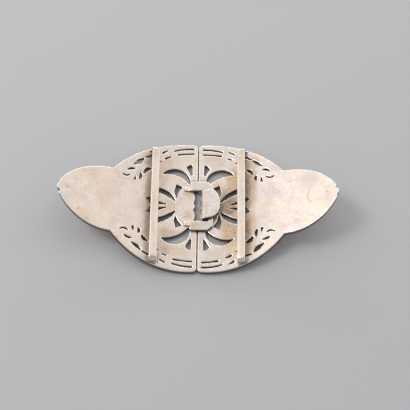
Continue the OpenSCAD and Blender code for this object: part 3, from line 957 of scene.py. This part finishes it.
def silver(
    name, tones, rough=0.4, tan=(), deep=(), scores=(), specks=(2.6, 0.22, 0.35), along=(0.12, 2.2, 2.2)
):
    """Aged silver. Tan and deep are rows of stains, some deep rows being painted shadows, and scores are rows
    of scored lines.
    """
    material = bpy.data.materials.new(name)
    material.use_nodes = True
    tree = material.node_tree
    tree.nodes.clear()
    w = Wiring(tree)
    place = w.vector("MULTIPLY", w.node("TexCoord").outputs["Object"], (1000, 1000, 1000))

    def strongest(group, rows):
        total = 0.0
        for values in rows:
            amount = w.place_group(group, {"Place": place, **values})["Amount"]
            total = w.maths("MAXIMUM", total, amount)
        return total

    def stains(rows):
        return strongest(STAIN, [
            {"Centre": (x, y, 0), "Reach": (reach_x, reach_y, 60), "Ragged": ragged, "Strength": strength}
            for x, y, reach_x, reach_y, ragged, strength in rows
        ])

    scored = strongest(SCORE, [
        {"From": (x0, y0, 0), "To": (x1, y1, 0), "Width": width, "Strength": strength}
        for x0, y0, x1, y1, width, strength in scores
    ])
    spacing, size, share = specks
    spots = w.place_group(SPECKS, {"Place": place, "Spacing": spacing, "Size": size, "Share": share})
    # Ambient occlusion darkens corners, creases and the places under and between parts: dirt and painted
    # shade.
    corner = w.node("AmbientOcclusion", {"Distance": 0.0016}, samples=8).outputs["AO"]
    values = {
        "Rough": rough,
        "Tarnish": stains(tan),
        "Deep_And_Shade": stains(deep),
        "Dirt_And_Shade": w.spread(corner, 0.72, 0.25, 0.0, 0.85),
        "Rim": w.node("Attribute", attribute_name="rim").outputs["Fac"],
        "Wall": w.node("Attribute", attribute_name="wall").outputs["Fac"],
        "Specks": spots["Amount"],
        "Scores": scored,
    }
    for group, extra in ((MOTTLE, {}), (TONING, {}), (POLISH, {"Along": along})):
        for mask in w.place_group(group, {"Place": place, **extra}):
            values[mask.name] = mask
    for key, tone in zip(("Clean", "Bright", "Tan", "Brown"), tones):
        values[key] = (*tone, 1)
    skin = w.place_group(SKIN, values)
    bump = w.node("Bump", {"Strength": 0.5, "Distance": 0.00012, "Height": skin["Height"]})
    shader = w.node("BsdfPrincipled", {"Metallic": 1.0, "Base Color": skin["Colour"]})
    w.feed(shader.inputs["Roughness"], skin["Roughness"])
    w.feed(shader.inputs["Normal"], bump.outputs["Normal"])
    w.feed(w.node("OutputMaterial").inputs["Surface"], shader.outputs[0])
    return material


def simple_material(name, colour, roughness):
    material = bpy.data.materials.new(name)
    material.use_nodes = True
    shader = material.node_tree.nodes["Principled BSDF"]
    shader.inputs["Base Color"].default_value = (*colour, 1)
    shader.inputs["Roughness"].default_value = roughness
    return material


# Stains in tan and in deep brown, and painted shadows in deep brown: x, y, reach along x, reach along y,
# ragged, strength.
# Scores: x and y of both ends, width, strength. All in millimetres, on the finished buckle.
LEFT_TAN = [
    (-14.5, 15, 3.0, 7, 2.5, 0.6),
    (-13.0, 21, 3.0, 5, 2.5, 0.45),
    (-21.5, 22.5, 3.5, 5, 2.0, 0.8),
    (-13.0, -17, 4.0, 9, 3.0, 0.55),
    (-7.5, -21.5, 5, 3, 3.0, 0.4),
    (-39, 1, 5, 8, 3.0, 0.25),
    (-21, -5, 2.6, 26, 2.0, 0.6),
    (-45, 11, 6, 4.5, 4.0, 0.35),
    (-46, -10, 5, 4, 4.0, 0.3),
    (-4.3, -3.8, 2.2, 2.4, 2.5, 0.6),
    (-4.0, 6.0, 2.4, 1.4, 2.0, 0.5),
    (-12.5, 0, 4, 5.0, 2.5, 0.5),
    (-24, 14, 2.5, 3, 1.5, 0.5),
]
LEFT_DEEP_AND_SHADE = [
    # Painted shadow: a dark strip just outside the belt bar.
    (-21.2, 20.5, 1.2, 4, 1.5, 0.35),
    (-21.0, -12, 1.2, 14, 1.6, 0.5),
    (-21.0, 6, 1.1, 12, 1.6, 0.5),
    (-53.4, 0.8, 0.8, 0.8, 0.8, 0.45),
    (-48.8, -8.0, 0.6, 0.9, 0.8, 0.4),
    (-22.2, 4.8, 0.4, 0.4, 0.3, 0.8),
    (-28.6, -2.4, 0.5, 0.5, 0.5, 0.35),
    (-13.5, -13, 2.2, 3, 3.0, 0.3),
    (-13.5, -21, 2.5, 2.5, 3.0, 0.3),
    (-20.9, -25.4, 0.8, 0.6, 0.8, 0.5),
    # Painted shadow: a dark line along the upper arm of the eye loop.
    (-1.6, 12.8, 2.4, 0.5, 0.5, 0.6),
    (-16.0, -24.0, 1.2, 2.0, 1.0, 0.35),
    (-10.0, -12.5, 3.0, 1.5, 3.0, 0.25),
    (-19.9, 7.3, 0.5, 0.8, 0.4, 0.7),
    (-19.9, -7.3, 0.5, 0.8, 0.4, 0.7),
]
LEFT_SCORES = [
    (-32.8, -17.0, -32.6, -18.0, 0.3, 0.8),
    (-15.9, -24.6, -16.2, -26.0, 0.28, 1.0),
    (-16.2, -26.0, -16.0, -27.3, 0.28, 1.0),
]
RIGHT_TAN = [
    (12, 0.5, 6.0, 12, 3.0, 1.0),
    (14.5, 12, 3.5, 9, 2.5, 0.95),
    (13.5, -14, 4.5, 8, 3.0, 0.9),
    (14.5, -22, 3.0, 4, 2.5, 0.6),
    (8.5, 9, 3, 3.5, 2.0, 0.7),
    (21.5, 10, 3.2, 14, 2.5, 0.85),
    (22, -14, 3.0, 14, 2.5, 0.7),
    (23, 21, 3.5, 3.5, 2.0, 0.8),
    (7, 25, 4, 3, 2.0, 0.3),
]
RIGHT_DEEP_AND_SHADE = [
    (12.5, 1, 4.5, 7.5, 2.5, 0.7),
    (14.0, 4.0, 4.0, 1.6, 1.2, 0.5),
    (10.5, 6.5, 2.0, 2.0, 2.0, 0.3),
    (13.0, -9.0, 3.0, 1.5, 2.0, 0.25),
    # Painted shadow: under the right edge of the hook's leaf and below it by the lower arm.
    (8.6, -0.5, 1.6, 8, 1.5, 0.55),
    (9.0, -7.3, 1.6, 3.6, 1.2, 0.75),
    (46.5, 8.5, 6.0, 4.5, 3.0, 0.16),
    (24.5, -5, 4.0, 10, 3.0, 0.09),
    (7, 22, 5.0, 4, 3.0, 0.16),
    (8, -22, 5.0, 4, 3.0, 0.12),
    (20.9, -25.4, 0.8, 0.6, 0.8, 0.5),
    # Painted shadow: a dark line along the upper arm of the eye loop.
    (2.4, 12.8, 2.8, 0.5, 0.5, 0.6),
    (15.5, -8.0, 1.5, 6, 2.0, 0.3),
    # Painted shadow: a dark strip just outside the belt bar.
    (21.2, 8, 1.5, 16, 1.8, 0.55),
    (21.2, -14, 1.4, 12, 1.8, 0.55),
    (23.0, 9, 2.5, 13, 4.0, 0.25),
    (52.8, 0.8, 0.7, 0.6, 0.6, 0.45),
    (19.9, 7.3, 0.5, 0.8, 0.4, 0.7),
    (19.9, -7.3, 0.5, 0.8, 0.4, 0.7),
]
RIGHT_SCORES = [
    (46.9, 7.7, 46.7, 5.3, 0.8, 0.14),
    (46.7, 5.3, 45.8, 3.6, 0.7, 0.2),
    (45.8, 3.6, 45.3, 1.5, 0.6, 0.28),
    (45.3, 1.5, 45.3, -0.1, 0.55, 0.3),
    (45.3, -0.1, 45.8, -1.9, 0.5, 0.35),
    (45.8, -1.9, 46.5, -2.5, 0.5, 0.3),
]

ALONG_BAR = (2.6, 0.1, 2.6)
FINISHES = {
    "left_plate": silver("left_plate_silver", LEFT_TONES, 0.42, LEFT_TAN, LEFT_DEEP_AND_SHADE, LEFT_SCORES),
    "right_plate": silver("right_plate_silver", RIGHT_TONES, 0.40, RIGHT_TAN, RIGHT_DEEP_AND_SHADE, RIGHT_SCORES),
    "left_belt_bar": silver(
        "left_bar_silver",
        BAR_TONES,
        0.34,
        [(-18, 24, 3, 3, 1.5, 0.5), (-18, 0, 3, 8, 3, 0.25)],
        # The first deep row is painted shade at the top end of the bar.
        [(-18, 27.6, 4, 1.5, 0.8, 0.5), (-18, -12, 0.5, 5, 2.0, 0.15)],
        along=ALONG_BAR,
    ),
    "right_belt_bar": silver(
        "right_bar_silver",
        BAR_TONES,
        0.34,
        [(18, 22, 3, 6, 2.5, 0.45), (18, -16, 3, 10, 3, 0.2)],
        # The first deep row is painted shade at the top end of the bar.
        [(18, 27.6, 4, 1.5, 0.8, 0.5), (18, 8, 0.5, 5, 2.0, 0.15)],
        along=ALONG_BAR,
    ),
    "eye_loop": silver(
        "eye_loop_silver",
        BAR_TONES,
        0.36,
        [(-2, -9.5, 4, 3, 2, 0.5)],
        [(-2, -9.2, 3.5, 2, 2.5, 0.25), (1, -9, 2, 1, 1.5, 0.2)],
    ),
    "hook": silver(
        "hook_silver",
        RIGHT_TONES,
        0.38,
        [(3.3, -1.5, 1.4, 3, 2, 0.3)],
        # The second deep row is painted shade along the fold, which dims its highlight.
        [(5, 3.5, 3, 1.5, 2.5, 0.12), (1.6, 0, 1.2, 9, 0.5, 0.5)],
    ),
    "solder": silver("solder", LEFT_TONES, 0.5, [(0, 0, 90, 90, 1, 0.8)], [(0, 0, 90, 90, 1, 0.35)]),
}


def build_half(half, side, turn):
    plate = make_plate(half + "_plate", side, turn)
    bar = make_bar(half + "_belt_bar", side, turn)
    feet = [make_foot(f"{half}_bar_foot_{mark}", side, turn, end) for mark, end in (("a", 1), ("b", -1))]
    catch = make_loop("eye_loop") if half == "left" else make_hook("hook")
    pieces = [plate, bar, catch] + feet
    if half == "right":
        pieces.append(make_bead("solder_bead"))
    for piece in pieces:
        piece.data.materials.append(FINISHES.get(piece.name, FINISHES["solder"]))
        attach(piece, "root")
    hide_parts(half + "_half")


build_half("left", -1, 1)
build_half("right", 1, -1)

# Floor and light

FLOOR_HALF, FLOOR_COLOUR, FLOOR_ROUGH = 2.5, (0.52, 0.52, 0.53), 0.8
WORLD_COLOUR, WORLD_STRENGTH = (0.96, 0.97, 1.0, 1), 0.46
# Lamps: place and size in metres, power in watts, colour
LAMPS = {
    "key_light": ((-0.6, 0.1, 0.85), (0.35, 0.35), 3.0, (1.0, 0.96, 0.91)),
    "left_panel": ((-0.9, 0.55, 0.55), (0.9, 0.9), 2.0, (1.0, 0.98, 0.96)),
    "right_panel": ((0.9, 0.55, 0.55), (0.9, 0.9), 2.0, (1.0, 0.97, 0.93)),
    "top_panel": ((0.1, 0.57, 0.96), (1.2, 0.7), 1.85, (1.0, 1.0, 1.0)),
    "back_panel": ((0.0, 1.4, 0.3), (2.0, 0.45), 9.0, (1.0, 1.0, 1.0)),
}


def make_floor():
    mesh = bmesh.new()
    bmesh.ops.create_grid(mesh, x_segments=1, y_segments=1, size=FLOOR_HALF)
    data = bpy.data.meshes.new("floor")
    mesh.to_mesh(data)
    mesh.free()
    floor = bpy.data.objects.new("floor", data)
    bpy.context.scene.collection.objects.link(floor)
    data.materials.append(simple_material("pale_floor", FLOOR_COLOUR, FLOOR_ROUGH))


def make_lamp(name, place, size, power, colour):
    data = bpy.data.lights.new(name, "AREA")
    data.shape = "RECTANGLE"
    data.size, data.size_y = size
    data.energy = power
    data.color = colour
    lamp = bpy.data.objects.new(name, data)
    lamp.location = place
    lamp.rotation_euler = (-Vector(place)).to_track_quat("-Z", "Y").to_euler()
    bpy.context.scene.collection.objects.link(lamp)


def light_world():
    world = bpy.data.worlds.new("studio")
    bpy.context.scene.world = world
    world.use_nodes = True
    background = world.node_tree.nodes["Background"].inputs
    background["Color"].default_value = WORLD_COLOUR
    background["Strength"].default_value = WORLD_STRENGTH
    bpy.context.scene.view_settings.view_transform = "Standard"


make_floor()
for lamp_name, lamp_values in LAMPS.items():
    make_lamp(lamp_name, *lamp_values)
light_world()
